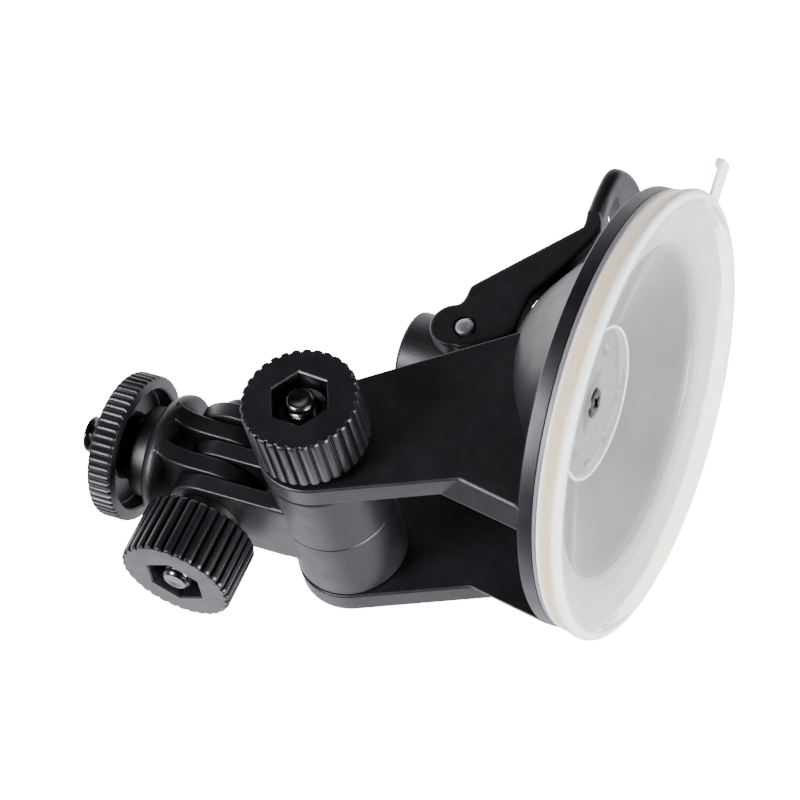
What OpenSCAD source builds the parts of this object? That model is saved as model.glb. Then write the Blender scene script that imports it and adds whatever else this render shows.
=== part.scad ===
// Windshield and dash mount: clear suction cup, cam lever, fork base, two-joint arm, tripod stud.
// Millimetres, +Z out of the cup towards the stud, origin at the middle of the suction face.

/* [Suction cup] */
// Outside diameter of the hard base ring
ring_d = 75; // [60:0.5:90]
// Height of the clear flange under the ring
flange_h = 4.0; // [3:0.1:6]
// How far the flange bulges beyond the ring
flange_bulge = 0.9; // [0.3:0.1:1.5]
// Width of the flat lip that meets the window
lip_w = 1.4; // [0.8:0.1:3]
// Thickness of the clear membrane
cup_wall = 2.2; // [1.5:0.1:3]
// Diameter of the step inside the flange
step_d = 55.8; // [46:0.2:64]
// Diameter of the centre plate
plate_d = 26.8; // [22:0.2:32]
// Height of the centre plate above the window
plate_z = 9.6; // [7:0.1:12]
// Thickness of the centre plate
plate_t = 3.2; // [2.4:0.1:4]
// Number of dimples in the centre plate
plate_dimples = 8; // [6:1:12]
// Length of the pull tab beyond the flange
pull_len = 6.8; // [4:0.1:12]
// Width of the pull tab
pull_w = 4.4; // [3:0.1:8]
// Direction of the pull tab around the cup
pull_angle = 158; // [90:1:180]

/* [Base housing] */
// Thickness of the thin ring between flange and housing
band_h = 0.85; // [0.6:0.05:1.5]
// Height of the top of the base ring
ring_top = 7.5; // [6.5:0.1:9]
// Radius where the skirt turns up into the dome
skirt_r = 27.5; // [24:0.1:30]
// Height where the skirt turns up into the dome
skirt_z = 11.0; // [9.5:0.1:13]
// Radius of the dome shoulder
shoulder_r = 18.5; // [16:0.1:21]
// Height of the dome shoulder
shoulder_z = 20.0; // [18:0.1:21]
// Radius of the flat on top of the dome
dome_flat_r = 13.0; // [11:0.1:15]
// Height of the flat on top of the dome
dome_top = 23.0; // [21.5:0.1:24]
// Housing wall thickness
shell = 2.6; // [2:0.1:3.5]

/* [Fork] */
// Gap between the two fork plates
fork_gap = 28.5; // [26:0.1:34]
// Thickness of each fork plate
fork_t = 4.25; // [3:0.05:6]
// Radius of the rounded plate ends
fork_end_r = 9.72; // [9.6:0.02:12]
// Arm pivot distance from the cup axis
pivot_x = 30.92; // [26:0.02:36]
// Arm pivot height above the window
pivot_z = 43.99; // [40:0.01:50]
// Lean of the lower plate edge
low_lean = 23; // [18:0.5:28]
// Lean of the upper plate edge
up_lean = 36.3; // [32:0.1:40]
// Inward taper of the plate root per mm of height
root_taper = 0.166; // [0.1:0.002:0.25]

/* [Lever] */
// Height of the lever pin above the window
pin_z = 31.5; // [30:0.1:34]
// Diameter of the lever pin
pin_d = 3.2; // [2.5:0.1:4]
// Diameter of the plunger post
post_d = 15.4; // [12:0.1:17]
// Height of the top of the plunger post
post_top = 43.6; // [38:0.1:46]
// Overall width of the lever
lever_w = 26.7; // [24:0.1:28]
// Thickness of each lever cheek
cheek_t = 3.4; // [2.4:0.1:4]
// Radius of the lever hub
hub_r = 4.2; // [3.5:0.1:5]
// Gap between the cam edge and the dome
cam_gap = 0.3; // [0.2:0.05:0.6]
// Distance from the pin to the tip of the finger tab
lever_reach = 42.45; // [36:0.05:50]
// Thickness of the finger tab
tab_t = 2.7; // [2:0.1:4]

/* [Arm] */
// Radius of the barrel between the fork plates
barrel_r = 9.52; // [8.5:0.02:11]
// Side clearance of the barrel in the fork
barrel_gap = 0.25; // [0.1:0.05:0.6]
// Distance between the two joints
joint_pitch = 19.85; // [19:0.05:30]
// Width of the link across its fingers
link_w = 17.0; // [15:0.1:20]
// Depth of the link body
link_d = 15.0; // [12:0.1:16]
// Thickness of the link fingers
finger_t = 3.1; // [2.4:0.1:4]
// Thickness of the head fingers
tongue_t = 3.25; // [2.4:0.05:3.4]
// Radius of the large outer finger on the bolt-head side
outer_finger_r = 8.7; // [7.5:0.1:9]

/* [Tripod head] */
// Radius of the round flange
flange_r = 11.0; // [9.5:0.1:13]
// Height of the flange underside over the second joint
flange_lift = 9.2; // [9.1:0.1:12]
// Thickness of the flange
flange_t = 2.6; // [2:0.1:4]
// Height of the lock wheel underside over the second joint
wheel_lift = 16.2; // [15:0.1:20]
// Radius of the lock wheel
wheel_r = 12.64; // [11:0.02:15]
// Thickness of the lock wheel
wheel_t = 4.45; // [3.5:0.05:6]
// Number of knurl ridges on the wheel
wheel_ridges = 54; // [36:1:72]
// Depth of the link slots below the tongue tips
slot_extra = 3.75; // [0.4:0.05:5]
// Radius of the neck between flange and lock wheel
neck_r = 7.8; // [5:0.1:9]
// Diameter of the camera stud
stud_d = 6.35; // [6.35:0.01:6.35]
// Length of stud above the wheel
stud_reach = 6.6; // [4.5:0.1:8]

/* [Knobs] */
// Radius of the clamping knobs
knob_r = 9.8; // [9:0.1:12]
// Height of the clamping knobs
knob_h = 11.0; // [9:0.1:14]
// Number of lobes on each knob
knob_lobes = 32; // [24:1:40]
// Turn of the hexagonal pockets
hex_turn = 26; // [0:1:59]
// Diameter of the clamping bolts
bolt_d = 5.0; // [5:0.1:5]
// Gap left by the washer under the arm knob
arm_washer_t = 1.35; // [1:0.05:2]
// Gap left by boss and washer under the head knob
head_stack = 2.8; // [2.2:0.1:3.5]

/* [Hidden] */
$fn = 96;
fit = 0.05;
ring_r = ring_d/2;
lip_r = ring_r - 0.6;
step_r = step_d/2;
plate_r = plate_d/2;
bore_r = plate_r + fit;
band_in = ring_r - 5.5;
house_z = flange_h + band_h;
plate_top = plate_z + plate_t;
screw_r = 1.6;
screw_head_r = 2.6;
post_r = post_d/2;
fork_in = fork_gap/2;
fork_out = fork_in + fork_t;
link_h = fork_in - barrel_gap;
cheek_in = lever_w/2 - cheek_t;
cam_z = dome_top + cam_gap;
tab_z = 18.7;
tab_r = 20.4;
bolt_r = bolt_d/2;
j2_z = pivot_z + joint_pitch;
half_w = link_w/2;
finger_r = link_d/2;
slot_w = (link_w - 3*finger_t)/2;
hex = 1/cos(30);
head_af = 8;
head_h = 3.5;
nut_af = 8;
nut_h = 4;
nut_drop = 3;
pocket_af = 9.0;
seat_y = fork_out - 2.8;
arm_base = fork_out + arm_washer_t + fit;
arm_face = arm_base + knob_h;
head_base = half_w + head_stack;
head_face = head_base + knob_h;
boss_h = head_stack - 1.25;
insert_r = 4.6;
stud_root_r = stud_d/2 - 0.6;
gusset = [[-10.3, 9.7], [-9.3, 9.1], [-8.5, 8.2], [-7.9, 6.9], [-7.5, 4.0],
          [7.5, 4.0], [7.9, 6.9], [8.5, 8.2], [9.3, 9.1], [10.3, 9.7]];
wheel_z = j2_z + wheel_lift;

black = [0.06, 0.06, 0.07];
clear_pvc = [0.86, 0.88, 0.88, 0.35];
zinc = [0.62, 0.63, 0.65];

// A bar of square section standing on its corner, used for knurl grooves.
module vee(depth, height) {
    rotate([0, 0, 45])
        translate([-depth, -depth, 0])
            cube([2*depth, 2*depth, height]);
}

// Hexagonal bar along +Z.
module hex_bar(af, height) {
    cylinder(r = af/2*hex, h = height, $fn = 6);
}

// Clamping knob standing on z = 0 with its pocket in the top face.
module knob_body() {
    difference() {
        cylinder(r = knob_r, h = knob_h);
        for (i = [0 : knob_lobes - 1])
            rotate([0, 0, (i + 0.5)*360/knob_lobes])
                translate([knob_r + 0.1, 0, -1])
                    cylinder(r = 0.5, h = knob_h + 2, $fn = 16);
        translate([0, 0, knob_h - nut_drop - nut_h])
            rotate([0, 0, hex_turn])
                hex_bar(pocket_af, nut_drop + nut_h + 1);
        translate([0, 0, -1])
            cylinder(r = bolt_r + 0.1, h = knob_h + 2);
    }
}

// Hexagonal nut seated in the knob pocket, same frame as knob_body.
module knob_nut() {
    translate([0, 0, knob_h - nut_drop - nut_h])
        difference() {
            rotate([0, 0, hex_turn])
                hex_bar(nut_af, nut_h);
            translate([0, 0, -1])
                cylinder(r = bolt_r + fit, h = nut_h + 2);
        }
}

// Hexagon-head bolt along +Z, head below z = 0.
module hex_bolt(grip) {
    union() {
        translate([0, 0, -head_h])
            hex_bar(head_af, head_h);
        translate([0, 0, -0.5])
            cylinder(r = bolt_r, h = grip + 0.5 - 0.5);
        translate([0, 0, grip - 0.5])
            cylinder(r1 = bolt_r, r2 = bolt_r - 0.5, h = 0.5);
    }
}

module suction_cup() color(clear_pvc) union() {
    rotate_extrude()
        polygon([[bore_r, plate_z], [step_r, flange_h], [step_r + 0.8, flange_h - 0.7],
                 [lip_r - lip_w, 0], [lip_r, 0], [ring_r + flange_bulge - 0.35, 0.35],
                 [ring_r + flange_bulge, 1.1], [ring_r + 0.3, 3.1], [ring_r, flange_h],
                 [band_in - 0.5, flange_h], [step_r - 0.6, flange_h + cup_wall],
                 [bore_r, plate_z + cup_wall]]);
    rotate([0, 0, pull_angle])
        translate([ring_r + 0.2, -pull_w/2, 0.35])
            cube([pull_len + 0.7, pull_w, 0.8]);
    rotate([0, 0, pull_angle])
        translate([ring_r + pull_len - 1.1, -pull_w/2, 0.35])
            cube([2, pull_w, 1.5]);
}

module cup_ring() color([0.2, 0.2, 0.21]) difference() {
    translate([0, 0, flange_h])
        cylinder(r = ring_r, h = band_h);
    translate([0, 0, flange_h - 1])
        cylinder(r = band_in, h = band_h + 2);
}

// Outer skin of the housing without the fork.
module dome_solid() {
    rotate_extrude()
        polygon([[0, house_z], [ring_r, house_z], [ring_r, ring_top],
                 [ring_r - 0.9, ring_top + 0.4], [skirt_r, skirt_z],
                 [shoulder_r, shoulder_z], [dome_flat_r, dome_top], [0, dome_top]]);
}

// Hollow under the housing, with a guide collar round the post left standing.
module dome_hollow() {
    rotate_extrude()
        polygon([[post_r + 3, 0], [band_in, 0], [band_in, ring_top - 1.2],
                 [skirt_r - 1.1, skirt_z - shell], [shoulder_r - 1.3, shoulder_z - shell],
                 [dome_flat_r - 0.6, dome_top - shell], [post_r + 3, dome_top - shell]]);
    translate([0, 0, -1])
        cylinder(r = post_r + 3.01, h = dome_top - 8.5 + 1);
}

// One fork plate seen from the side, in x and z.
module fork_side() {
    low_dx = tan(low_lean);
    up_dx = tan(up_lean);
    lt_x = pivot_x + fork_end_r*cos(low_lean);
    lt_z = pivot_z - fork_end_r*sin(low_lean);
    ut_x = pivot_x - fork_end_r*cos(up_lean);
    ut_z = pivot_z + fork_end_r*sin(up_lean);
    foot = 12;
    polygon([[lt_x, lt_z], [pivot_x, pivot_z], [ut_x, ut_z],
             [ut_x - (ut_z - foot)*up_dx, foot], [lt_x - (lt_z - foot)*low_dx, foot]]);
}

module fork_plate() {
    root_top = 24;
    translate([0, fork_out, 0])
        rotate([90, 0, 0])
            linear_extrude(fork_t)
                fork_side();
    translate([pivot_x, fork_out, pivot_z])
        rotate([90, 0, 0])
            cylinder(r = fork_end_r, h = fork_t);
    intersection() {
        translate([0, 0, ring_top - 1])
            cylinder(r1 = ring_r + root_taper, r2 = ring_r - (root_top - ring_top)*root_taper,
                     h = root_top - ring_top + 1);
        translate([10, fork_in, ring_top - 1])
            cube([ring_r, fork_t, root_top - ring_top + 1]);
    }
}

module base_housing() color(black) difference() {
    union() {
        dome_solid();
        fork_plate();
        mirror([0, 1, 0])
            fork_plate();
    }
    dome_hollow();
    cylinder(r = post_r + fit, h = 60);
    translate([pivot_x, 0, pivot_z])
        rotate([90, 0, 0])
            cylinder(r = bolt_r + fit, h = 60, center = true);
    translate([pivot_x, -seat_y, pivot_z])
        rotate([90, 0, 0])
            hex_bar(head_af + 0.2, 20);
}

module anchor_plate() color([0.8, 0.82, 0.82, 0.6]) difference() {
    translate([0, 0, plate_z])
        cylinder(r = plate_r, h = plate_t);
    translate([0, 0, plate_z - 1])
        cylinder(r = screw_head_r + 0.1, h = 2.8);
    translate([0, 0, plate_z])
        cylinder(r = screw_r + fit, h = plate_t + 1);
    for (i = [0 : plate_dimples - 1])
        rotate([0, 0, i*360/plate_dimples])
            translate([plate_r*0.72, 0, plate_z - 1])
                cylinder(r = 1.2, h = 2, $fn = 24);
}

module plunger_post() color(black) difference() {
    union() {
        translate([0, 0, plate_top])
            cylinder(r = post_r, h = post_top - 0.7 - plate_top);
        translate([0, 0, post_top - 0.7])
            cylinder(r1 = post_r, r2 = post_r - 0.7, h = 0.7);
    }
    translate([0, 0, plate_top - 1])
        cylinder(r = screw_r + fit, h = 13);
    translate([0, 0, pin_z])
        rotate([90, 0, 0])
            cylinder(r = pin_d/2, h = 40, center = true);
}

module plate_screw() color(zinc) union() {
    translate([0, 0, plate_z + 0.5])
        cylinder(r = screw_head_r, h = 1.3);
    translate([0, 0, plate_z + 1.7])
        cylinder(r = screw_r, h = 12);
}

// Side outline of a lever cheek, in x and z.
module lever_side() {
    knee_x = -8.9;
    heel_x = -25.3;
    polygon([[hub_r, pin_z + 1.9], [hub_r, pin_z - 1.3], [-2, cam_z], [knee_x, cam_z],
             [knee_x - 3.3, cam_z - 1.2], [heel_x, tab_z - 1.4], [heel_x - 2.3, tab_z],
             [heel_x - 2.3, tab_z + tab_t - 0.6], [heel_x + 0.6, tab_z + 1.6],
             [-8.3, pin_z + 2.3], [-3.6, pin_z + 2]]);
}

// Finger tab with its rounded tip.
module lever_tab() {
    intersection() {
        translate([tab_r - lever_reach, 0, tab_z])
            cylinder(r = tab_r, h = tab_t);
        translate([-lever_reach - 1, -lever_w/2, tab_z])
            cube([lever_reach - 23.7, lever_w, tab_t]);
    }
}

module lever() color(black) difference() {
    union() {
        for (s = [-1, 1])
            translate([0, s*(lever_w - cheek_t)/2 + cheek_t/2, 0])
                rotate([90, 0, 0])
                    linear_extrude(cheek_t)
                        lever_side();
        for (s = [-1, 1])
            translate([0, s*(lever_w - cheek_t)/2, pin_z + 1.9])
                rotate([90, 0, 0])
                    cylinder(r = hub_r, h = cheek_t, center = true);
        translate([0, cheek_in + 0.5, 0])
            rotate([90, 0, 0])
                linear_extrude(2*cheek_in + 1)
                    polygon([[-24.7, 17.6], [-24.7, 20.3], [-18, 25.8], [-18, 23]]);
        lever_tab();
    }
    translate([0, 0, pin_z])
        rotate([90, 0, 0])
            cylinder(r = pin_d/2 + fit, h = 40, center = true);
    translate([-34.8, -10, tab_z - 1])
        cube([4.9, 20, tab_t + 2]);
}

module lever_pin() color(zinc) translate([0, 0, pin_z])
    rotate([90, 0, 0])
        cylinder(r = pin_d/2, h = lever_w + 0.9, center = true);

// A finger round the second joint: one rounded plate from x0, of given thickness and radius.
module finger(x0, t, r, foot, top) {
    translate([x0, 0, 0])
        rotate([0, 90, 0])
            cylinder(r = r, h = t);
    translate([x0, -finger_r, foot])
        cube([t, 2*finger_r, top - foot]);
}

module arm_link() color(black) translate([pivot_x, 0, pivot_z]) difference() {
    union() {
        rotate([90, 0, 0])
            cylinder(r = barrel_r, h = 2*link_h, center = true);
        translate([-half_w, -finger_r, 0])
            cube([link_w, link_d, joint_pitch - finger_r - slot_extra]);
        translate([0, 0, joint_pitch]) {
            finger(-half_w, finger_t, outer_finger_r, -finger_r - slot_extra - 0.8, 0);
            finger(-finger_t/2, finger_t, finger_r, -finger_r - slot_extra - 0.8, 0);
            finger(half_w - finger_t, finger_t, finger_r, -finger_r - slot_extra - 0.8, 0);
            translate([half_w - 0.5, 0, 0])
                rotate([0, 90, 0])
                    cylinder(r = 5.4, h = boss_h + 0.5);
            translate([-half_w - 2.6, 0, 0])
                rotate([0, 90, 0])
                    cylinder(r = 6.2, h = 3);
        }
    }
    rotate([90, 0, 0])
        cylinder(r = bolt_r + fit, h = 60, center = true);
    translate([-30, 0, joint_pitch])
        rotate([0, 90, 0])
            cylinder(r = bolt_r + fit, h = 60);
    translate([-half_w - 3, 0, joint_pitch])
        rotate([0, 90, 0])
            hex_bar(head_af + 0.2, 3);
}

module arm_bolt() color(zinc) translate([pivot_x, -seat_y, pivot_z])
    rotate([-90, 0, 0])
        hex_bolt(seat_y + arm_face);

module arm_washer() color(black) translate([pivot_x, fork_out, pivot_z])
    rotate([-90, 0, 0])
        difference() {
            cylinder(r = 6.5, h = arm_washer_t);
            translate([0, 0, -1])
                cylinder(r = bolt_r + fit, h = arm_washer_t + 2);
        }

module arm_knob() color(black) translate([pivot_x, arm_base, pivot_z])
    rotate([-90, 0, 0])
        knob_body();

module arm_nut() color(zinc) translate([pivot_x, arm_base, pivot_z])
    rotate([-90, 0, 0])
        knob_nut();

module head_bolt() color(zinc) translate([pivot_x - half_w, 0, j2_z])
    rotate([0, 90, 0])
        hex_bolt(half_w + head_face);

module head_washer() color(zinc) translate([pivot_x + half_w + boss_h, 0, j2_z])
    rotate([0, 90, 0])
        difference() {
            cylinder(r = 4.9, h = 1.2);
            translate([0, 0, -1])
                cylinder(r = bolt_r + fit, h = 3.2);
        }

module head_knob() color(black) translate([pivot_x + head_base, 0, j2_z])
    rotate([0, 90, 0])
        knob_body();

module head_nut() color(zinc) translate([pivot_x + head_base, 0, j2_z])
    rotate([0, 90, 0])
        knob_nut();

module tripod_head() color(black) translate([pivot_x, 0, j2_z]) difference() {
    union() {
        finger(-half_w + finger_t + (slot_w - tongue_t)/2, tongue_t, finger_r, 0, flange_lift + 0.5);
        finger(half_w - finger_t - (slot_w + tongue_t)/2, tongue_t, finger_r, 0, flange_lift + 0.5);
        translate([0, 0, flange_lift])
            cylinder(r = flange_r, h = 1.4);
        translate([0, 0, flange_lift + 1.4])
            cylinder(r1 = flange_r, r2 = flange_r - 0.9, h = flange_t - 1.4);
        translate([0, 0, flange_lift + 1])
            cylinder(r = neck_r, h = wheel_lift - flange_lift - 1.5);
        for (x0 = [-half_w + finger_t + (slot_w - tongue_t)/2, half_w - finger_t - (slot_w + tongue_t)/2])
            translate([x0, 0, 0])
                rotate([90, 0, 90])
                    linear_extrude(height = tongue_t)
                        polygon(gusset);
    }
    rotate([0, 90, 0])
        cylinder(r = bolt_r + fit, h = 60, center = true);
    translate([0, 0, flange_lift + 0.6])
        cylinder(r = stud_root_r, h = 20);
}

module tripod_stud() color([0.3, 0.3, 0.32]) translate([pivot_x, 0, 0]) union() {
    translate([0, 0, j2_z + flange_lift + 0.6])
        cylinder(r = stud_root_r, h = wheel_z + wheel_t - j2_z - flange_lift - 0.1);
    translate([0, 0, wheel_z + wheel_t + 0.2])
        cylinder(r = stud_d/2, h = stud_reach - 1);
    translate([0, 0, wheel_z + wheel_t + stud_reach - 0.8])
        cylinder(r1 = stud_d/2, r2 = stud_d/2 - 0.7, h = 0.8);
}

module lock_wheel() color(black) translate([pivot_x, 0, wheel_z]) difference() {
    cylinder(r = wheel_r, h = wheel_t);
    difference() {
        translate([0, 0, -1])
            cylinder(r = wheel_r - 2.2, h = wheel_t - 0.6);
        translate([0, 0, -2])
            cylinder(r = insert_r + 1.1, h = wheel_t + 4);
    }
    translate([0, 0, -1])
        cylinder(r = insert_r, h = wheel_t + 2);
    for (i = [0 : wheel_ridges - 1])
        rotate([0, 0, i*360/wheel_ridges])
            translate([wheel_r, 0, -1])
                vee(0.3, wheel_t + 2);
}

module wheel_insert() color(zinc) translate([pivot_x, 0, wheel_z]) difference() {
    cylinder(r = insert_r, h = wheel_t);
    translate([0, 0, -1])
        cylinder(r = stud_root_r + fit, h = wheel_t + 2);
}

suction_cup();
cup_ring();
base_housing();
anchor_plate();
plunger_post();
plate_screw();
lever();
lever_pin();
arm_link();
arm_bolt();
arm_washer();
arm_knob();
arm_nut();
head_bolt();
head_washer();
head_knob();
head_nut();
tripod_head();
tripod_stud();
lock_wheel();
wheel_insert();
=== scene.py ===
import math

import bmesh
import bpy
from mathutils import Matrix, Vector


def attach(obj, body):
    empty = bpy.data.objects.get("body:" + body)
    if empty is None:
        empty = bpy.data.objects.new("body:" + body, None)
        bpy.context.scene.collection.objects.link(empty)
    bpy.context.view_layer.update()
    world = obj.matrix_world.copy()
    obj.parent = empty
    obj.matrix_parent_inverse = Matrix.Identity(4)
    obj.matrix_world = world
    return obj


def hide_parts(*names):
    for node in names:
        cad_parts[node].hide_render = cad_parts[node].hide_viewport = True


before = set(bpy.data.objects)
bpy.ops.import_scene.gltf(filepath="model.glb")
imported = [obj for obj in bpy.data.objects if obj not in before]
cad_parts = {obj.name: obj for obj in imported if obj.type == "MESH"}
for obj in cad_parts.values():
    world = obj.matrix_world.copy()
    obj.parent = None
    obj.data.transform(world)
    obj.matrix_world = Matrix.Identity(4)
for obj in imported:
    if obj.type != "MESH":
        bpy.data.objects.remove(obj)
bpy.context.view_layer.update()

MM = 0.001
TAU = 2 * math.pi

# ---------------------------------------------------------------- dimensions, in mm, as in the CAD
RING_R, RING_TOP, FLANGE_H = 37.5, 7.5, 4.0
PULL_ANGLE, PULL_ROOT, PULL_HALF = math.radians(158), 38.05, 2.2
PLATE_R, PLATE_Z, PLATE_T = 13.4, 9.6, 3.2
PIVOT_X, PIVOT_Z, J2_Z = 30.92, 43.99, 63.84
FORK_IN, FORK_OUT, FORK_END = 14.25, 18.5, 9.72
LOW_LEAN, UP_LEAN, TAPER = math.radians(23), math.radians(36.3), 0.166
PIN_Z, POST_R, POST_TOP = 31.5, 7.7, 43.6
LEVER_HALF, CHEEK_T = 13.35, 3.4
BARREL_R, LINK_HALF = 9.52, 14.0
KNOB_R, KNOB_H, LOBES = 9.8, 11.0, 32
NUT_DROP, NUT_H, POCKET_AF, NUT_AF, HEX_TURN = 3.0, 4.0, 9.0, 8.0, math.radians(26)
BOLT_R, BORE_R, SEAT_AF = 2.5, 2.56, 8.2
ARM_BASE = 19.9
HEAD_BASE = 11.3
WHEEL_Z, WHEEL_R, WHEEL_T, RIDGES = 80.04, 12.64, 4.45, 54
INSERT_OUT = 4.61
# the direction from the object to the main camera, which the studio keeps dim
STUDIO_FRONT = (0.458, 0.811, -0.365)


# ---------------------------------------------------------------- mesh builders
def add_object(name, verts, faces, sharp=32.0):
    """A mesh object from points in mm, with outward normals and smooth shading up to sharp degrees."""
    mesh = bpy.data.meshes.new(name)
    mesh.from_pydata([(x * MM, y * MM, z * MM) for x, y, z in verts], [], faces)
    obj = bpy.data.objects.new(name, mesh)
    bpy.context.collection.objects.link(obj)
    tidy_mesh(obj, sharp)
    return obj


def tidy_mesh(obj, sharp=32.0, merge=1e-6):
    bm = bmesh.new()
    bm.from_mesh(obj.data)
    bmesh.ops.remove_doubles(bm, verts=bm.verts, dist=merge)
    bmesh.ops.recalc_face_normals(bm, faces=bm.faces)
    bm.to_mesh(obj.data)
    bm.free()
    for p in obj.data.polygons:
        p.use_smooth = True
    obj.data.set_sharp_from_angle(angle=math.radians(sharp))


def weighted(obj):
    """Face-weighted normals, so that big flat faces stay flat beside their rounded rims."""
    mod = obj.modifiers.new("weighted", "WEIGHTED_NORMAL")
    mod.keep_sharp = True
    mod.weight = 60
    return obj


def value(f, a, *rest):
    return f(a, *rest) if callable(f) else f


def polar(name, rings, n, closed=False, sharp=32.0):
    """A lathe round Z: each ring is (radius, z), either of them a number or a function of angle."""
    verts, faces, rows = [], [], []
    for r, z in rings:
        if r == 0:
            rows.append([len(verts)])
            verts.append((0, 0, value(z, 0)))
            continue
        row = []
        for i in range(n):
            a = TAU * i / n
            rr, zz = value(r, a), value(z, a)
            row.append(len(verts))
            verts.append((rr * math.cos(a), rr * math.sin(a), zz))
        rows.append(row)
    pairs = list(zip(rows, rows[1:]))
    if closed:
        pairs.append((rows[-1], rows[0]))
    for one, two in pairs:
        for i in range(n):
            j = (i + 1) % n
            if len(one) == 1:
                faces.append((one[0], two[i], two[j]))
            elif len(two) == 1:
                faces.append((one[i], one[j], two[0]))
            else:
                faces.append((one[i], one[j], two[j], two[i]))
    return add_object(name, verts, faces, sharp)


def loft(name, sections, sharp=32.0):
    """Joins closed loops of equal length and caps both ends."""
    n = len(sections[0])
    verts = [p for s in sections for p in s]
    faces = []
    for k in range(len(sections) - 1):
        for i in range(n):
            j = (i + 1) % n
            faces.append((k * n + i, k * n + j, (k + 1) * n + j, (k + 1) * n + i))
    faces.append(tuple(range(n)))
    last = (len(sections) - 1) * n
    faces.append(tuple(last + i for i in range(n)))
    return add_object(name, verts, faces, sharp)


def inset(loop, d):
    """The closed 2-D loop moved inwards by d, corner by corner."""
    n = len(loop)
    area = sum(loop[i][0] * loop[(i + 1) % n][1] - loop[(i + 1) % n][0] * loop[i][1] for i in range(n))
    side = 1 if area > 0 else -1
    out = []
    for i in range(n):
        p, q, r = Vector(loop[i - 1]), Vector(loop[i]), Vector(loop[(i + 1) % n])
        u, v = (q - p).normalized(), (r - q).normalized()
        nu, nv = Vector((-u.y, u.x)) * side, Vector((-v.y, v.x)) * side
        m = nu + nv
        m = m / max(m.length_squared / 2, 0.35)
        out.append((q.x + m.x * d, q.y + m.y * d))
    return out


def rim_steps(t0, t1, r, steps=3):
    """(position, inset) pairs across a plate from t0 to t1 whose rims are rounded to r."""
    out = []
    for k in range(steps + 1):
        a = math.pi / 2 * k / steps
        out.append((t0 + r * (1 - math.sin(a)), r * (1 - math.cos(a))))
        out.append((t1 - r * (1 - math.sin(a)), r * (1 - math.cos(a))))
    return sorted(out, key=lambda p: p[0])


PLANES = {
    "xz": lambda u, v, t: (u, t, v),
    "xy": lambda u, v, t: (u, v, t),
    "yz": lambda u, v, t: (t, u, v),
}


def slab(name, loop, t0, t1, r=0.4, plane="xz", sharp=32.0, steps=3):
    """A plate with rounded rims: loop is its outline, t0 to t1 its thickness."""
    place = PLANES[plane]
    sections = []
    for t, d in rim_steps(t0, t1, r, steps):
        sections.append([place(u, v, t) for u, v in inset(loop, d)])
    return loft(name, sections, sharp)


def arc(cx, cy, r, a0, a1, n):
    """n+1 points along an arc, in degrees."""
    pts = []
    for k in range(n + 1):
        a = math.radians(a0 + (a1 - a0) * k / n)
        pts.append((cx + r * math.cos(a), cy + r * math.sin(a)))
    return pts


def rounded_loop(points, radii, n=5):
    """A polygon with each corner replaced by an arc of its own radius."""
    out = []
    count = len(points)
    for i in range(count):
        p, q, s = Vector(points[i - 1]), Vector(points[i]), Vector(points[(i + 1) % count])
        r = radii[i] if isinstance(radii, (list, tuple)) else radii
        u, v = (p - q).normalized(), (s - q).normalized()
        half = u.angle(v) / 2
        if r <= 0 or half > math.radians(88):
            out.append(tuple(q))
            continue
        reach = min(r / math.tan(half), 0.49 * (p - q).length, 0.49 * (s - q).length)
        r = reach * math.tan(half)
        centre = q + (u + v).normalized() * (r / math.sin(half))
        a0 = math.atan2(*(q + u * reach - centre).yx)
        a1 = math.atan2(*(q + v * reach - centre).yx)
        turn = (a1 - a0 + math.pi) % TAU - math.pi
        for k in range(n + 1):
            a = a0 + turn * k / n
            out.append((centre.x + r * math.cos(a), centre.y + r * math.sin(a)))
    return out


def join_solids(obj, others, op="UNION"):
    """obj combined with the others, which are used up."""
    for other in others:
        mod = obj.modifiers.new("solid", "BOOLEAN")
        mod.operation, mod.solver, mod.object = op, "EXACT", other
    graph = bpy.context.evaluated_depsgraph_get()
    mesh = bpy.data.meshes.new_from_object(obj.evaluated_get(graph))
    obj.modifiers.clear()
    obj.data = mesh
    mesh.name = obj.name
    for other in others:
        bpy.data.objects.remove(other)
    return obj


def put(obj, matrix):
    """Moves the mesh itself, so that the object's origin stays the row's."""
    obj.data.transform(matrix)
    return obj


def at(x, y, z, turn=None):
    m = Matrix.Translation((x * MM, y * MM, z * MM))
    return m @ turn if turn else m


TO_Y = Matrix.Rotation(math.radians(-90), 4, "X")
TO_X = Matrix.Rotation(math.radians(90), 4, "Y")


def smooth_path(points, per=4):
    """Catmull-Rom curve through 2-D points."""
    out = []
    n = len(points)
    for i in range(n - 1):
        p0, p1, p2, p3 = (Vector(points[max(0, min(n - 1, i + k))]) for k in (-1, 0, 1, 2))
        for k in range(per):
            t = k / per
            q = 0.5 * (2 * p1 + (p2 - p0) * t + (2 * p0 - 5 * p1 + 4 * p2 - p3) * t * t
                       + (3 * p1 - p0 - 3 * p2 + p3) * t ** 3)
            out.append((q.x, q.y))
    out.append(tuple(points[-1]))
    return out


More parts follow.
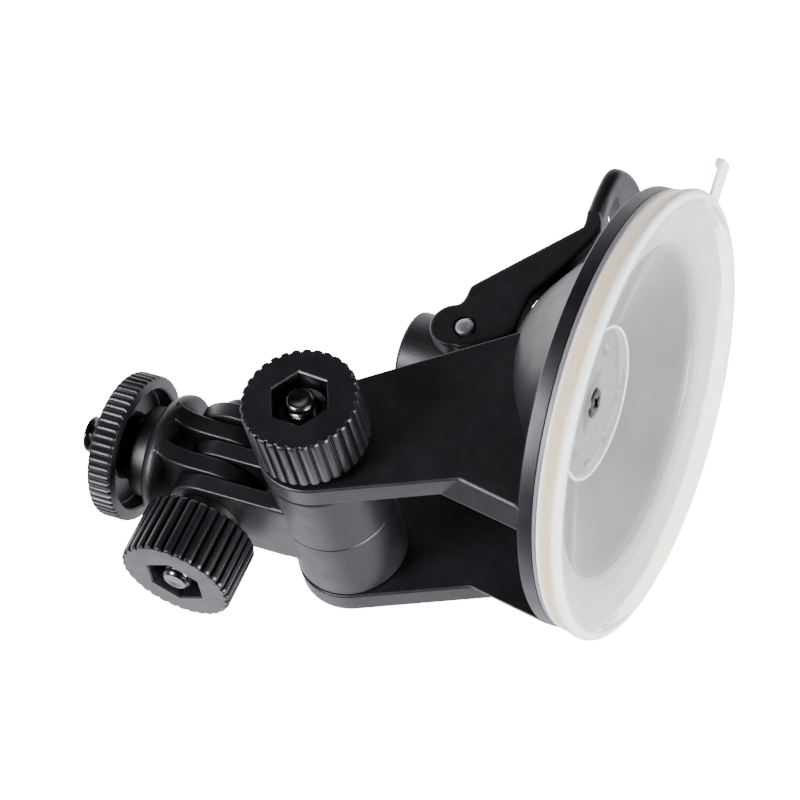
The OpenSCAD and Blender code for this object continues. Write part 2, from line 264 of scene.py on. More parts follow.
# ---------------------------------------------------------------- materials
class Tree:
    """Short names for building one material."""

    def __init__(self, name):
        self.mat = bpy.data.materials.new(name)
        self.mat.use_nodes = True
        self.nodes = self.mat.node_tree.nodes
        self.links = self.mat.node_tree.links
        self.bsdf = self.nodes["Principled BSDF"]
        self.coords = self.nodes.new("ShaderNodeTexCoord").outputs["Object"]

    def node(self, kind, inputs=None, **props):
        n = self.nodes.new(kind)
        for k, v in props.items():
            setattr(n, k, v)
        for k, v in (inputs or {}).items():
            if isinstance(v, bpy.types.NodeSocket):
                self.links.new(v, n.inputs[k])
            else:
                n.inputs[k].default_value = v
        return n

    def noise(self, scale, detail=4.0, rough=0.55, stretch=None):
        vec = self.coords
        if stretch:
            vec = self.node("ShaderNodeMapping", {"Vector": vec, "Scale": stretch}).outputs[0]
        return self.node("ShaderNodeTexNoise", {"Vector": vec, "Scale": scale, "Detail": detail,
                                                "Roughness": rough}).outputs["Fac"]

    def remap(self, v, a, b, c, d):
        return self.node("ShaderNodeMapRange", {"Value": v, "From Min": a, "From Max": b,
                                                "To Min": c, "To Max": d}).outputs["Result"]

    def mix(self, fac, a, b):
        n = self.node("ShaderNodeMix", data_type="RGBA")
        for sock, v in ((n.inputs[0], fac), (n.inputs[6], a), (n.inputs[7], b)):
            if isinstance(v, bpy.types.NodeSocket):
                self.links.new(v, sock)
            else:
                sock.default_value = v
        return n.outputs[2]

    def bump(self, height, strength, distance, normal=None):
        inputs = {"Height": height, "Strength": strength, "Distance": distance}
        if normal is not None:
            inputs["Normal"] = normal
        return self.node("ShaderNodeBump", inputs).outputs[0]

    def math(self, op, a, b=0.0):
        return self.node("ShaderNodeMath", {0: a, 1: b}, operation=op).outputs[0]

    def set(self, **values):
        for k, v in values.items():
            sock = self.bsdf.inputs[k.replace("_", " ")]
            if isinstance(v, bpy.types.NodeSocket):
                self.links.new(v, sock)
            else:
                sock.default_value = v
        return self.mat


def plastic(name, dark, light, rough=0.42, grain=0.35, spec=0.47):
    """Black moulded plastic: spark-eroded grain, faint flow marks, uneven sheen."""
    t = Tree(name)
    flow = t.noise(55.0, 3.0, 0.5, (1.0, 1.0, 0.35))
    fine = t.noise(5200.0, 2.0, 0.6)
    cloud = t.noise(210.0, 5.0, 0.6)
    colour = t.mix(t.remap(flow, 0.3, 0.7, 0.0, 1.0), dark, light)
    sheen = t.remap(cloud, 0.3, 0.7, rough - 0.05, rough + 0.06)
    normal = t.bump(fine, grain, 0.00006)
    normal = t.bump(cloud, 0.12, 0.0002, normal)
    return t.set(Base_Color=colour, Roughness=sheen, Specular_IOR_Level=spec, Normal=normal)


def steel(name, colour, rough=0.22, bright=1.25):
    """Plated steel: fine turning marks and small stains."""
    t = Tree(name)
    marks = t.noise(2600.0, 3.0, 0.6, (1.0, 0.15, 1.0))
    stain = t.noise(420.0, 5.0, 0.65)
    light = tuple(min(1.0, c * bright) for c in colour[:3]) + (1.0,)
    base = t.mix(t.remap(stain, 0.35, 0.7, 0.0, 1.0), colour, light)
    shine = t.remap(stain, 0.3, 0.7, rough - 0.06, rough + 0.1)
    return t.set(Base_Color=base, Metallic=1.0, Roughness=shine, Normal=t.bump(marks, 0.25, 0.00005))


def clear(name, colour, tint, rough, see_rim, see_dome, ior=1.24, lip=0.0):
    """Clear PVC: faint orange peel and dust, cream at the moulded rim streaked with painted white highlights,
    clearest where it is thin; lip, if given, paints a white highlight band there.
    """
    t = Tree(name)
    xyz = t.node("ShaderNodeSeparateXYZ", {"Vector": t.coords}).outputs
    squares = [t.math("MULTIPLY", c, c) for c in (xyz[0], xyz[1])]
    radius = t.math("SQRT", t.math("ADD", *squares))
    # painted highlight: this noise pulls the rim's cream towards white in streaks running round the rim
    highlight_streak = t.noise(90.0, 4.0, 0.6, (1.0, 1.0, 6.0))
    wall = t.remap(radius, 0.0366, 0.0371, 0.0, 1.0)
    cream = t.remap(radius, 0.0370, 0.0374, 0.0, 1.0)
    above = t.remap(xyz[2], 0.0007, 0.0011, 0.0, 1.0)
    below = t.remap(xyz[2], 0.0037, 0.0033, 0.0, 1.0)
    cream = t.math("MULTIPLY", cream, t.math("MULTIPLY", above, below))
    cream = t.math("MULTIPLY", cream, t.remap(highlight_streak, 0.35, 0.55, 0.55, 1.0))
    peel = t.noise(110.0, 3.0, 0.5)
    dust = t.noise(1500.0, 4.0, 0.7)
    cloud = t.noise(38.0, 3.0, 0.5)
    outer = t.remap(radius, 0.0272, 0.0296, 0.0, 1.0)
    inner = t.math("SUBTRACT", 1.0, outer)
    haze_in = t.remap(cloud, 0.4, 0.7, 0.985 - see_dome, 1.015 - see_dome)
    haze = t.math("ADD", t.math("MULTIPLY", inner, haze_in), t.math("MULTIPLY", outer, 1 - see_rim))
    haze = t.math("MAXIMUM", haze, t.math("MULTIPLY", wall, 0.75))
    see = t.math("SUBTRACT", 1.0, haze)
    # painted highlight: from 0.4 mm inside lip outwards the plastic turns less clear and so shows white, a
    # bright line round the rim
    if lip:
        see = t.math("SUBTRACT", see, t.remap(radius, lip - 0.0004, lip - 0.0001, 0.0, 0.55))
    shine = t.remap(dust, 0.4, 0.8, rough, rough + 0.08)
    return t.set(Base_Color=t.mix(cream, colour, tint), Roughness=shine, IOR=ior, Transmission_Weight=see,
                 Normal=t.bump(peel, 0.06, 0.0002))


BLACK = plastic("black_plastic", (0.0026, 0.0023, 0.0034, 1), (0.0046, 0.0042, 0.0058, 1))
BLACK_KNOB = plastic("knob_plastic", (0.0034, 0.003, 0.0042, 1), (0.0056, 0.0052, 0.007, 1), 0.36, 0.3)
GREY = plastic("grey_plastic", (0.16, 0.16, 0.17, 1), (0.22, 0.22, 0.23, 1), 0.35, 0.2)
ZINC = steel("zinc_steel", (0.72, 0.72, 0.74, 1), 0.36)
DARK_STEEL = steel("dark_steel", (0.1, 0.095, 0.1, 1), 0.2)
BLACK_OXIDE = steel("black_oxide", (0.02, 0.02, 0.021, 1), 0.3)
PVC = clear("clear_pvc", (0.99, 0.99, 1.0, 1), (1.0, 0.82, 0.5, 1), 0.05, 0.66, 0.88)
# lip=0.0131 paints a white highlight line round the centre plate's rim
HARD_CLEAR = clear("clear_hard", (0.95, 0.95, 0.965, 1), (0.95, 0.95, 0.965, 1), 0.1, 0.85, 0.86, lip=0.0131)


def dress(obj, node, body, mat):
    obj.data.materials.clear()
    obj.data.materials.append(mat)
    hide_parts(node)
    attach(obj, body)
    return obj


def bore(place):
    """A bolt hole to cut, along the place's own Z."""
    return put(polar("bore", [(0, -30), (BORE_R, -30), (BORE_R, 30), (0, 30)], 48), place)


def hex_seat(low, high, place):
    """A pocket for a bolt's head to cut, along the place's own Z."""
    flats = hex_radius(SEAT_AF, 0.0)
    return put(polar("seat", [(0, low), (flats, low), (flats, high), (0, high)], 48), place)


# ---------------------------------------------------------------- suction cup
def build_cup():
    outer = [(33.0, FLANGE_H), (37.3, FLANGE_H), (RING_R, 3.85), (37.72, 3.1), (38.1, 2.2), (38.36, 1.35),
             (38.38, 0.95), (38.2, 0.45), (37.8, 0.12), (37.3, 0.0), (36.2, 0.0)]
    ridges = [(36.0, 0.05)]
    for k in range(1, 57):
        r = 36.0 - 7.5 * k / 56
        swell = 0.05 * math.sin(TAU * 5 * k / 56) ** 3
        ridges.append((r, (36.0 - r) / 8.1 * 4.0 + swell))
    inner = [(28.3, 3.7), (27.9, 4.2), (27.0, 4.65), (24.0, 5.8), (20.5, 7.1), (17.0, 8.35),
             (14.6, 9.25), (13.9, 9.55), (13.46, 9.6)]
    top = [(13.46, 11.8), (14.5, 11.5), (18.0, 10.1), (23.0, 8.2), (27.2, 6.3), (29.5, 5.1), (31.0, 4.4),
           (32.0, FLANGE_H)]
    rings = smooth_path(outer, 3) + ridges + smooth_path(inner, 3) + smooth_path(top, 3)
    cup = polar("clear_suction_cup", rings, 256, closed=True, sharp=40)
    pieces = []
    for name, root, corner, arc_steps, low, high, rim in (("pull_tab", 0, 0, 6, 0.4, 1.15, 0.25),
                                                          ("pull_tab_lip", 5.2, 0.3, 5, 0.35, 1.8, 0.3)):
        loop = [(root, -PULL_HALF), (6.8, -PULL_HALF), (6.8, PULL_HALF), (root, PULL_HALF)]
        piece = slab(name, rounded_loop(loop, [corner, 1.0, 1.0, corner], arc_steps), low, high, rim, "xy")
        place = Matrix.Rotation(PULL_ANGLE, 4, "Z") @ Matrix.Translation((PULL_ROOT * MM, 0, 0))
        pieces.append(put(piece, place))
    join_solids(cup, pieces)
    tidy_mesh(cup, 40)
    return dress(cup, "suction_cup", "base", PVC)


def build_band():
    rings = [(32.1, 4.02), (37.35, 4.02), (RING_R, 4.15), (RING_R, 4.72), (37.42, 4.84), (32.1, 4.84)]
    return dress(polar("cup_band", rings, 192, closed=True), "cup_ring", "base", GREY)


def build_plate():
    n = 288
    dimple_r, dimple_n = 9.6, 8

    def floor_z(r):
        def z(a):
            d = a % (TAU / dimple_n)
            d = min(d, TAU / dimple_n - d)
            dist = math.hypot(r * math.sin(d), r * math.cos(d) - dimple_r)
            return PLATE_Z + 0.12 + 0.7 * max(0.0, min(1.0, (1.35 - dist) / 0.45))
        return z

    radii = [12.6, 11.4] + [11.2 - 0.16 * k for k in range(21)] + [7.6, 6.2, 5.9]
    rings = [(PLATE_R, PLATE_Z + PLATE_T), (PLATE_R, PLATE_Z + 0.12), (13.3, PLATE_Z), (13.0, PLATE_Z),
             (12.85, PLATE_Z + 0.12)]
    rings += [(r, floor_z(r)) for r in radii]
    rings += [(5.7, PLATE_Z + 0.25), (3.1, PLATE_Z + 0.3), (2.75, PLATE_Z + 0.55), (2.7, PLATE_Z + 1.8),
              (1.65, PLATE_Z + 1.8), (1.65, PLATE_Z + PLATE_T)]
    plate = polar("centre_plate", rings, n, closed=True, sharp=35)
    return dress(plate, "anchor_plate", "plunger", HARD_CLEAR)


def build_plate_screw():
    z = PLATE_Z + 0.2
    recess = [(0, z + 1.15), (lambda a: 0.55 + 0.5 * abs(math.cos(2 * a)) ** 3, z + 1.1),
              (lambda a: 0.65 + 0.75 * abs(math.cos(2 * a)) ** 3, z + 0.05)]
    rings = recess + [(1.6, z), (2.2, z + 0.12), (2.55, z + 0.5), (2.6, z + 1.58), (1.6, z + 1.6),
                      (1.6, z + 13.5), (0, z + 13.5)]
    return dress(polar("plate_screw_head", rings, 64), "plate_screw", "plunger", BLACK_OXIDE)


# ---------------------------------------------------------------- housing
DOME = [(36.95, 7.62), (35.2, 8.1), (31.5, 9.2), (28.8, 10.35), (26.8, 11.9), (25.17, 13.5), (23.25, 15.5),
        (21.5, 17.2), (19.9, 18.6), (18.4, 19.9), (16.8, 21.0), (15.0, 21.95), (13.0, 22.65), (11.0, 22.95),
        (9.2, 23.0)]


def dome_z(rho):
    """Height of the outer skin over that radius."""
    for (r0, z0), (r1, z1) in zip(DOME, DOME[1:]):
        if r1 <= rho <= r0:
            return z0 + (z1 - z0) * (r0 - rho) / (r0 - r1)
    return DOME[0][1] if rho > DOME[0][0] else DOME[-1][1]


def fork_section(y, d):
    """Outline of a fork plate at that y, moved in by d, as (x, z)."""
    tan_low, tan_up = math.tan(LOW_LEAN), math.tan(UP_LEAN)
    lt = (PIVOT_X + FORK_END * math.cos(LOW_LEAN), PIVOT_Z - FORK_END * math.sin(LOW_LEAN))
    ut = (PIVOT_X - FORK_END * math.cos(UP_LEAN), PIVOT_Z + FORK_END * math.sin(UP_LEAN))

    def line_x(z):
        return lt[0] - (lt[1] - z) * tan_low

    def cone_x(z):
        r = RING_R - (z - RING_TOP) * TAPER
        return math.sqrt(r * r - y * y)

    low, high = 10.0, 34.0
    for _ in range(40):
        mid = (low + high) / 2
        if line_x(mid) < cone_x(mid):
            low = mid
        else:
            high = mid
    kink = (low + high) / 2
    foot_x = ut[0] - (ut[1] - 18.9) * tan_up
    loop = [(foot_x + (ut[0] - foot_x) * k / 12, 18.9 + (ut[1] - 18.9) * k / 12) for k in range(12)]
    loop += arc(PIVOT_X, PIVOT_Z, FORK_END, 180 - math.degrees(UP_LEAN), -math.degrees(LOW_LEAN), 56)
    for k in range(1, 13):
        z = lt[1] + (kink - lt[1]) * k / 12
        loop.append((line_x(z), z))
    for k in range(1, 13):
        z = kink + (7.3 - kink) * k / 12
        loop.append((cone_x(z), z))
    loop = inset(loop, d)
    end_x = loop[-1][0]
    start_x = loop[0][0]
    for k in range(1, 20):
        x = end_x + (start_x - end_x) * k / 20
        loop.append((x, dome_z(math.hypot(x, y)) - 1.3))
    return loop


def build_fork(side):
    sections = []
    for t, d in rim_steps(FORK_IN, FORK_OUT, 0.45, 4):
        sections.append([(x, side * t, z) for x, z in fork_section(t, d)])
    return loft("fork", sections)


def build_housing():
    outer = [(32.2, 4.86), (37.3, 4.86), (37.46, 4.95), (RING_R, 5.1), (RING_R, 7.0), (37.42, 7.3),
             (37.22, RING_TOP)]
    skin = smooth_path(DOME, 4)
    collar = [(9.0, 23.0), (7.78, 22.85), (7.76, 14.5), (10.7, 14.5), (10.7, 20.2)]
    under = smooth_path([(12.4, 20.2), (16.0, 18.6), (18.6, 16.6), (22.0, 13.2), (24.5, 10.4), (27.5, 8.0),
                         (31.5, 6.7), (32.2, 6.3)], 3)
    shell = polar("base_shell", outer + skin + collar + under, 256, closed=True, sharp=35)
    join_solids(shell, [build_fork(1), build_fork(-1)])
    cuts = [bore(at(PIVOT_X, 0, PIVOT_Z, TO_Y)), hex_seat(15.7, 24, at(PIVOT_X, 0, PIVOT_Z, TO_Y.inverted()))]
    join_solids(shell, cuts, "DIFFERENCE")
    tidy_mesh(shell, 30)
    weighted(shell)
    return dress(shell, "base_housing", "base", BLACK)


# ---------------------------------------------------------------- lever
def build_post():
    rings = [(0, 12.85), (7.4, 12.85), (POST_R, 13.1), (POST_R, 42.9), (7.62, 43.25), (7.4, 43.5),
             (7.1, POST_TOP), (5.6, POST_TOP), (5.4, 43.4), (5.4, 40.0), (0, 40.0)]
    post = polar("plunger_post_body", rings, 128)
    return dress(post, "plunger_post", "plunger", BLACK)


def lever_outline():
    hub = arc(0, PIN_Z + 1.9, 4.2, -20, 152, 26)
    upper = [(-4.15, 34.35), (-4.9, 33.95), (-5.9, 33.8), (-7.4, 33.9), (-8.2, 33.8), (-9.0, 33.2)]
    line = [(-9.0 - 15.75 * k / 8, 33.2 - 12.9 * k / 8) for k in range(1, 9)]
    tab = [(-26.0, 20.35), (-28.2, 20.9), (-28.2, 18.6), (-26.6, 17.6), (-25.3, 17.25)]
    lower = [(-23.2, 17.6), (-21.0, 18.4), (-18.8, 19.2), (-16.4, 20.2), (-14.3, 21.15), (-12.2, 22.1),
             (-10.4, 23.0), (-8.9, 23.38), (-6.8, 23.45), (-4.8, 23.42), (-2.6, 23.32), (-1.6, 23.6),
             (-0.4, 24.7), (1.6, 26.9), (3.3, 29.2), (4.05, 30.9)]
    return hub + upper + line + tab + lower


def gather(obj, others):
    """Puts the other meshes into obj as they are."""
    bm = bmesh.new()
    for o in [obj] + others:
        bm.from_mesh(o.data)
    bm.to_mesh(obj.data)
    bm.free()
    for o in others:
        bpy.data.objects.remove(o)
    return obj


def one_skin(obj, others, voxel, rounds):
    """The union of the solids as a single skin, with its inner and outer corners softened."""
    gather(obj, others)
    mod = obj.modifiers.new("skin", "REMESH")
    mod.mode, mod.voxel_size, mod.adaptivity = "VOXEL", voxel * MM, 0.0
    blur = obj.modifiers.new("blur", "SMOOTH")
    blur.factor, blur.iterations = 0.5, rounds
    graph = bpy.context.evaluated_depsgraph_get()
    mesh = bpy.data.meshes.new_from_object(obj.evaluated_get(graph))
    obj.modifiers.clear()
    obj.data = mesh
    mesh.name = obj.name
    return obj


def tab_lift(x):
    """How far the arched tab rises over its straight chord."""
    t = (x + 33.5) / 8.5
    return 0.9 * (1 - t * t) - 0.35


def build_lever():
    loop = lever_outline()
    inner = LEVER_HALF - CHEEK_T
    lever = slab("lever_body", loop, inner, LEVER_HALF, 0.35)
    other = slab("cheek", loop, -LEVER_HALF, -inner, 0.35)
    wedge = [(-25.2, 17.7), (-25.2, 20.2), (-18.2, 25.6), (-17.8, 25.2), (-18.0, 22.9)]
    web = slab("web", wedge, -inner - 0.6, inner + 0.6, 0.2)
    side = smooth_path([(-24.0, 13.34), (-27.0, 13.34), (-29.5, 13.34), (-33.0, 13.33), (-36.0, 13.3),
                        (-37.7, 12.75), (-38.9, 11.4), (-40.6, 8.3), (-41.85, 4.2), (-42.4, 0.0)], 6)
    plan = side + [(x, -y) for x, y in side[-2::-1]]
    tab = slab("tab", plan, 18.1, 20.75, 1.2, "xy", steps=6)
    for v in tab.data.vertices:
        v.co.z += tab_lift(v.co.x / MM) * MM
    one_skin(lever, [other, web, tab], 0.25, 6)
    tidy_mesh(lever, 60)
    slot_loop = rounded_loop([(-34.7, -9.9), (-29.95, -9.9), (-29.95, 9.9), (-34.7, 9.9)], 0.8)
    cut = slab("slot", slot_loop, 16, 24, 0.05, "xy")
    eye = put(polar("eye", [(0, -20), (1.66, -20), (1.66, 20), (0, 20)], 48), at(0, 0, PIN_Z, TO_Y))
    sink = [(0, 12.6), (1.7, 12.6), (2.1, 12.9), (2.15, 14), (0, 14)]
    sinks = [put(polar("sink", sink, 48), at(0, 0, PIN_Z, turn)) for turn in (TO_Y, TO_Y.inverted())]
    join_solids(lever, [cut, eye] + sinks, "DIFFERENCE")
    tidy_mesh(lever, 40)
    return dress(lever, "lever", "lever", BLACK)


def build_pin():
    half = [(0, 13.8), (0.9, 13.78), (1.35, 13.68), (1.55, 13.45), (1.6, 13.2)]
    rings = half + [(r, -h) for r, h in half[::-1]]
    pin = put(polar("lever_pin_rod", rings, 48), at(0, 0, PIN_Z, TO_Y))
    return dress(pin, "lever_pin", "plunger", ZINC)


# ---------------------------------------------------------------- arm
def finger_loop(r, half, foot, lift=0.0):
    """Round-ended finger about the joint, as (y, z)."""
    a = math.degrees(math.asin(min(1.0, half / r)))
    return [(half, foot)] + arc(0, lift, r, 90 - a, 90 + a, 40) + [(-half, foot)]


def round_finger(r, half, foot):
    """A disc end wider than its stem."""
    drop = math.sqrt(max(r * r - half * half, 0.0))
    a = math.degrees(math.atan2(-drop, half))
    stem = [(-half, -drop - 0.4), (-half, foot)]
    return [(-y, z) for y, z in stem[::-1]] + arc(0, 0, r, a, 180 - a, 56) + stem


def build_link():
    seam = [(0, LINK_HALF), (9.0, LINK_HALF), (9.35, 13.9), (9.5, 13.65), (BARREL_R, 13.3), (BARREL_R, 0.22),
            (9.42, 0.12), (9.36, 0.0)]
    rings = seam + [(r, -h) for r, h in seam[-2::-1]]
    link = put(polar("arm_link_body", rings, 160), at(PIVOT_X, 0, PIVOT_Z, TO_Y))
    body_loop = rounded_loop([(-8.5, -7.5), (8.5, -7.5), (8.5, 7.5), (-8.5, 7.5)], 0.7)
    body = slab("body", body_loop, 0.0, 8.6, 0.3, "xy")
    put(body, at(PIVOT_X, 0, PIVOT_Z))
    parts = [body]
    for x0, x1, r in ((-8.5, -5.4, 8.7), (-1.55, 1.55, 7.5), (5.4, 8.5, 7.5)):
        loop = round_finger(r, 7.5, -13.0) if r > 7.6 else finger_loop(7.5, 7.499, -13.0)
        parts.append(put(slab("finger", loop, x0, x1, 0.4, "yz"), at(PIVOT_X, 0, J2_Z)))
    boss = polar("boss", [(0, 0), (5.2, 0), (5.4, 0.2), (5.4, 1.3), (5.2, 1.54), (0, 1.55)], 72)
    parts.append(put(boss, at(PIVOT_X + 8.4, 0, J2_Z, TO_X)))
    cap = polar("cap", [(0, 0), (6.2, 0), (6.2, 2.2), (5.9, 2.65), (5.3, 2.7), (0, 2.7)], 72)
    parts.append(put(cap, at(PIVOT_X - 8.4, 0, J2_Z, TO_X.inverted())))
    join_solids(link, parts)
    cuts = [bore(at(PIVOT_X, 0, PIVOT_Z, TO_Y)), bore(at(PIVOT_X, 0, J2_Z, TO_X)),
            hex_seat(8.5, 14, at(PIVOT_X, 0, J2_Z, TO_X.inverted()))]
    join_solids(link, cuts, "DIFFERENCE")
    tidy_mesh(link, 32)
    weighted(link)
    return dress(link, "arm_link", "arm", BLACK)


def build_head():
    flange = [(0, 9.2), (10.4, 9.2), (10.85, 9.35), (11.0, 9.7), (11.0, 10.2), (10.8, 10.9), (10.35, 11.5),
              (9.7, 11.8), (8.5, 11.8), (8.05, 11.95), (7.8, 12.3), (7.8, 15.45), (7.6, 15.65), (0, 15.65)]
    head = polar("tripod_head_body", flange, 144)
    flare = [(10.3, 9.8), (9.3, 9.1), (8.5, 8.2), (7.9, 6.9), (7.55, 5.2), (7.5, 3.6)]
    outline = flare + arc(0, 0, 7.5, 0, -180, 48)[1:-1] + [(-y, z) for y, z in flare[::-1]]
    parts = [slab("tongue", outline, x0, x0 + 3.25, 0.4, "yz") for x0 in (-5.1, 1.85)]
    join_solids(head, parts)
    join_solids(head, [bore(TO_X)], "DIFFERENCE")
    put(head, at(PIVOT_X, 0, J2_Z))
    tidy_mesh(head, 32)
    weighted(head)
    return dress(head, "tripod_head", "head", BLACK)


# ---------------------------------------------------------------- knobs, nuts, bolts
def lobe_radius(r, depth):
    """Broad convex lobes parted by narrow grooves, each groove with a thin ridge along its middle."""
    def f(a):
        u = (a * LOBES / TAU) % 1.0
        e = min(u, 1 - u)
        if e < 0.05:
            return r - depth * 0.5
        if e < 0.13:
            return r - depth
        out = (0.5 - e) / 0.37
        return r - 0.4 * depth * out * out
    return f


def hex_radius(af, turn, cap=None):
    def f(a):
        r = af / 2 / math.cos(((a - turn) % (TAU / 6)) - TAU / 12)
        return min(r, cap) if cap else r
    return f


def build_knob(name):
    n = LOBES * 18
    rings = [(2.6, 0.0), (8.3, 0.0), (8.8, 0.04)]
    for drop, z, depth in ((0.4, 0.16, 0.35), (0.12, 0.45, 0.5), (0.0, 0.85, 0.58), (0.0, 5.5, 0.58),
                           (0.0, 10.3, 0.58), (0.06, 10.6, 0.54), (0.2, 10.84, 0.48), (0.42, 10.97, 0.42)):
        rings.append((lobe_radius(KNOB_R - drop, depth), z))
    pocket = hex_radius(POCKET_AF, HEX_TURN)
    rings += [(8.5, KNOB_H), (7.0, KNOB_H), (hex_radius(POCKET_AF + 0.5, HEX_TURN), KNOB_H), (pocket, 10.75),
              (pocket, 4.0), (2.6, 4.0)]
    return polar(name, rings, n, closed=True, sharp=28)


def build_nut(name):
    flat = hex_radius(NUT_AF, HEX_TURN)
    chamfer = [(hex_radius(NUT_AF, HEX_TURN, cap), NUT_H - drop) for cap, drop in ((4.3, 0.2), (3.95, 0.0))]
    rings = [(2.55, 0.0), (flat, 0.0), (flat, NUT_H - 0.55)] + chamfer
    rings += [(3.0, NUT_H), (BORE_R, NUT_H - 0.35)]
    return put(polar(name, rings, 144, closed=True, sharp=25), at(0, 0, KNOB_H - NUT_DROP - NUT_H))


def thread_rings(r, pitch, z0, z1, depth, steps=8):
    """Rings of a helical thread from z0 to z1."""
    count = int(math.ceil((z1 - z0) / pitch * steps))
    rings = []
    for k in range(count + 1):
        z = z0 + (z1 - z0) * k / count

        def f(a, z=z):
            u = (z / pitch - a / TAU) % 1.0
            fade = min(1.0, (z1 - z) / 0.5, (z - z0) / 0.5 + 0.2)
            tooth = abs(2 * u - 1)
            return r - depth * (1 - min(1.0, max(0.0, (tooth - 0.08) / 0.8))) * max(fade, 0.3)
        rings.append((f, z))
    return rings


def build_bolt(name, grip):
    head = hex_radius(8, 0.0)
    rings = [(0, -3.5), (3.2, -3.5), (3.7, -3.49), (hex_radius(8, 0.0, 4.0), -3.38),
             (hex_radius(8, 0.0, 4.3), -3.16), (head, -2.85), (head, 0.0), (BOLT_R, 0.0)]
    rings += thread_rings(BOLT_R, 0.8, grip - 9.5, grip - 0.6, 0.42)
    rings += [(2.3, grip - 0.45), (2.0, grip - 0.06), (1.9, grip), (1.3, grip - 0.02), (1.1, grip - 0.12),
              (0, grip - 0.16)]
    return polar(name, rings, 96, sharp=26)


def build_washer(name, r, t, hole=BORE_R):
    e = 0.12
    return polar(name, [(hole, 0), (r - e, 0), (r, e), (r, t - e), (r - e, t), (hole, t)], 96, closed=True)


def build_clamps():
    spot = at(PIVOT_X, ARM_BASE, PIVOT_Z, TO_Y)
    dress(put(build_knob("arm_knob_lobed"), spot), "arm_knob", "arm_clamp", BLACK_KNOB)
    dress(put(build_nut("arm_nut_hex"), spot), "arm_nut", "arm_clamp", DARK_STEEL)
    bolt = put(build_bolt("arm_bolt_threaded", 15.7 + 30.9), at(PIVOT_X, -15.7, PIVOT_Z, TO_Y))
    dress(bolt, "arm_bolt", "base", DARK_STEEL)
    washer = put(build_washer("arm_washer_disc", 6.5, 1.34), at(PIVOT_X, FORK_OUT, PIVOT_Z, TO_Y))
    dress(washer, "arm_washer", "base", BLACK)
    spot = at(PIVOT_X + HEAD_BASE, 0, J2_Z, TO_X)
    dress(put(build_knob("head_knob_lobed"), spot), "head_knob", "head_clamp", BLACK_KNOB)
    dress(put(build_nut("head_nut_hex"), spot), "head_nut", "head_clamp", DARK_STEEL)
    bolt = put(build_bolt("head_bolt_threaded", 8.5 + 22.3), at(PIVOT_X - 8.5, 0, J2_Z, TO_X))
    dress(bolt, "head_bolt", "arm", DARK_STEEL)
    washer = put(build_washer("head_washer_disc", 4.9, 1.19), at(PIVOT_X + 10.06, 0, J2_Z, TO_X))
    dress(washer, "head_washer", "arm", ZINC)


# ---------------------------------------------------------------- stud and wheel
def ridge_radius(r, depth):
    def f(a):
        u = (a * RIDGES / TAU) % 1.0
        return r - depth * (1 - math.sin(math.pi * u) ** 0.6)
    return f


def build_wheel():
    n = RIDGES * 10
    rings = [(INSERT_OUT, 0.6), (5.4, 0.6), (5.7, 0.9), (5.7, 2.9), (5.9, 3.1), (10.2, 3.1), (10.4, 2.9),
             (10.44, 0.35), (10.7, 0.0), (12.0, 0.0)]
    for drop, z, depth in ((0.25, 0.12, 0.1), (0.08, 0.3, 0.35), (0.0, 0.6, 0.5), (0.0, 3.85, 0.5),
                           (0.08, 4.15, 0.35), (0.25, 4.35, 0.1)):
        rings.append((ridge_radius(WHEEL_R - drop, depth), z))
    rings += [(12.0, WHEEL_T), (10.9, WHEEL_T), (10.6, 4.25), (6.6, 4.25), (6.3, WHEEL_T),
              (INSERT_OUT, WHEEL_T)]
    wheel = polar("lock_wheel_body", rings, n, closed=True, sharp=28)
    put(wheel, at(PIVOT_X, 0, WHEEL_Z))
    tidy_mesh(wheel, 28)
    return dress(wheel, "lock_wheel", "wheel", BLACK_KNOB)


def build_insert():
    rings = [(3.14, 0.3), (3.4, 0.02), (4.4, 0.0), (4.6, 0.2), (4.6, 4.25), (4.4, 4.44), (3.5, 4.44),
             (3.14, 4.1)]
    return dress(put(polar("threaded_insert", rings, 96, closed=True), at(PIVOT_X, 0, WHEEL_Z)),
                 "wheel_insert", "wheel", DARK_STEEL)


def build_stud():
    z0 = J2_Z + 9.85
    rings = [(0, z0), (3.0, z0), (3.07, z0 + 0.2), (3.07, 84.4)]
    rings += thread_rings(3.17, 1.27, 84.55, 90.6, 0.6)
    rings += [(2.55, 90.9), (2.3, 91.04), (0, 91.04)]
    return dress(put(polar("tripod_stud_thread", rings, 96, sharp=50), at(PIVOT_X, 0, 0)),
                 "tripod_stud", "head", DARK_STEEL)


for build in (build_cup, build_band, build_plate, build_plate_screw, build_housing, build_post, build_lever,
              build_pin, build_link, build_head, build_clamps, build_wheel, build_insert, build_stud):
    build()


# ---------------------------------------------------------------- camera, floor, light
def build_camera():
    data = bpy.data.cameras.new("camera")
    data.sensor_width, data.lens = 36.0, 161.18
    data.clip_start, data.clip_end = 0.01, 20.0
    cam = bpy.data.objects.new("camera", data)
    bpy.context.collection.objects.link(cam)
    right, up = Vector((-0.39662, -0.18096, -0.89997)), Vector((-0.79567, 0.55671, 0.23872))
    back = right.cross(up)
    m = Matrix((right, up, back)).transposed().to_4x4()
    m.translation = (0.28466, 0.48810, -0.17757)
    cam.matrix_world = m
    bpy.context.scene.camera = cam


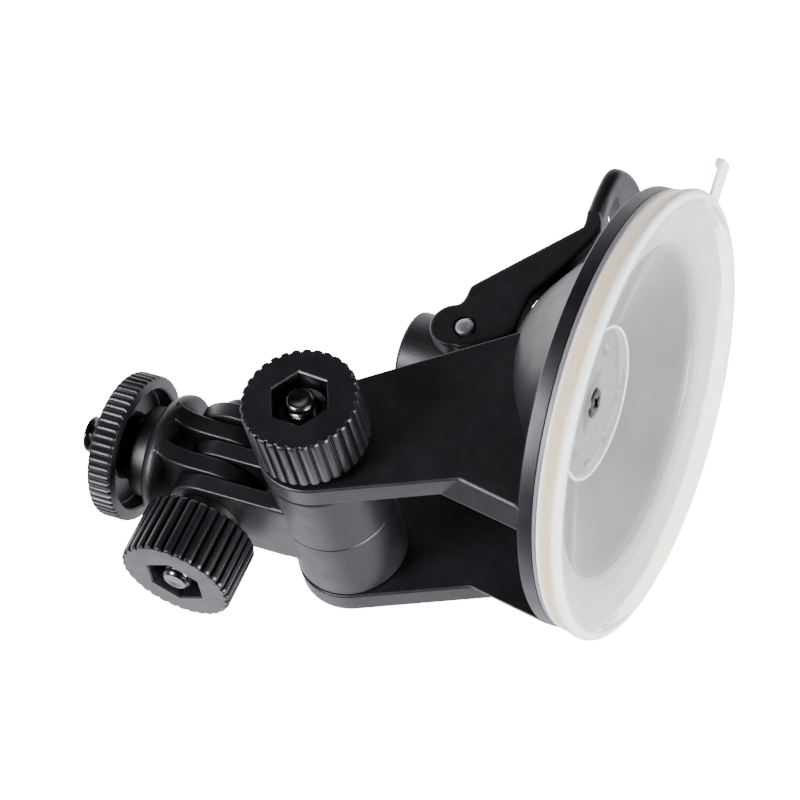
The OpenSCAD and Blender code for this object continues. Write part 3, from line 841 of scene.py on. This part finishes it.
def build_floor():
    """Pale table, seen only from above, because the main camera looks up past its plane."""
    n = 24
    verts, faces = [], []
    for i in range(n + 1):
        for j in range(n + 1):
            verts.append(((i / n - 0.5) * 6000, (j / n - 0.5) * 6000, -0.05))
    for i in range(n):
        for j in range(n):
            a = i * (n + 1) + j
            faces.append((a, a + n + 1, a + n + 2, a + 1))
    mesh = bpy.data.meshes.new("floor")
    mesh.from_pydata([(x * MM, y * MM, z * MM) for x, y, z in verts], [], faces)
    floor = bpy.data.objects.new("floor", mesh)
    bpy.context.collection.objects.link(floor)
    t = Tree("floor_paper")
    mottle = t.remap(t.noise(40.0), 0.3, 0.7, 0.0, 1.0)
    t.set(Base_Color=t.mix(mottle, (0.84, 0.84, 0.84, 1), (0.87, 0.87, 0.87, 1)), Roughness=0.7)
    out = t.nodes["Material Output"]
    facing = t.node("ShaderNodeNewGeometry").outputs["Backfacing"]
    see = t.node("ShaderNodeBsdfTransparent").outputs[0]
    swap = t.node("ShaderNodeMixShader", {0: facing, 1: t.bsdf.outputs[0], 2: see})
    t.links.new(swap.outputs[0], out.inputs["Surface"])
    mesh.materials.append(t.mat)
    floor.visible_diffuse = floor.visible_glossy = floor.visible_shadow = False


def build_world():
    """White backdrop for what is seen directly, and a studio that lights the object mostly from behind."""
    world = bpy.data.worlds.new("studio")
    bpy.context.scene.world = world
    world.use_nodes = True
    nodes, links = world.node_tree.nodes, world.node_tree.links
    nodes.clear()
    seen = nodes.new("ShaderNodeBackground")
    seen.inputs["Color"].default_value = (1, 1, 1, 1)
    seen.inputs["Strength"].default_value = 18.0
    lit = nodes.new("ShaderNodeBackground")
    lit.inputs["Color"].default_value = (0.93, 0.905, 1.0, 1)
    coords = nodes.new("ShaderNodeTexCoord")
    dot = nodes.new("ShaderNodeVectorMath")
    dot.operation = "DOT_PRODUCT"
    dot.inputs[1].default_value = STUDIO_FRONT
    links.new(coords.outputs["Generated"], dot.inputs[0])
    ramp = nodes.new("ShaderNodeMapRange")
    ramp.interpolation_type = "SMOOTHSTEP"
    for name, v in (("From Min", -0.45), ("From Max", 0.2), ("To Min", 2.1), ("To Max", 0.04)):
        ramp.inputs[name].default_value = v
    links.new(dot.outputs["Value"], ramp.inputs["Value"])
    links.new(ramp.outputs["Result"], lit.inputs["Strength"])
    path = nodes.new("ShaderNodeLightPath")
    either = nodes.new("ShaderNodeMath")
    either.operation = "MAXIMUM"
    links.new(path.outputs["Is Camera Ray"], either.inputs[0])
    links.new(path.outputs["Is Transmission Ray"], either.inputs[1])
    mix = nodes.new("ShaderNodeMixShader")
    out = nodes.new("ShaderNodeOutputWorld")
    links.new(either.outputs[0], mix.inputs[0])
    links.new(lit.outputs[0], mix.inputs[1])
    links.new(seen.outputs[0], mix.inputs[2])
    links.new(mix.outputs[0], out.inputs["Surface"])


def area_light(name, place, target, size, power, colour=(1, 1, 1)):
    data = bpy.data.lights.new(name, "AREA")
    data.shape, data.size, data.size_y = "RECTANGLE", size[0], size[1]
    data.energy, data.color = power, colour
    obj = bpy.data.objects.new(name, data)
    bpy.context.collection.objects.link(obj)
    obj.location = place
    obj.rotation_mode = "QUATERNION"
    obj.rotation_quaternion = (Vector(target) - Vector(place)).to_track_quat("-Z", "Y")


build_camera()
build_floor()
build_world()
area_light("soft_top", (-0.35, -0.25, 0.9), (0.01, 0, 0.04), (0.7, 0.7), 3.0, (1.0, 0.99, 0.98))
area_light("front_strip", (0.56, 0.5, 0.42), (0.01, 0, 0.04), (0.3, 0.3), 14.0, (0.95, 0.93, 1.0))
area_light("side", (0.5, -0.7, 0.3), (0.02, 0, 0.05), (0.6, 0.5), 1.0, (0.96, 0.95, 1.0))
area_light("below", (0.35, 0.05, -0.8), (0, 0, 0.0), (0.5, 0.5), 32.0, (1.0, 0.995, 1.0))
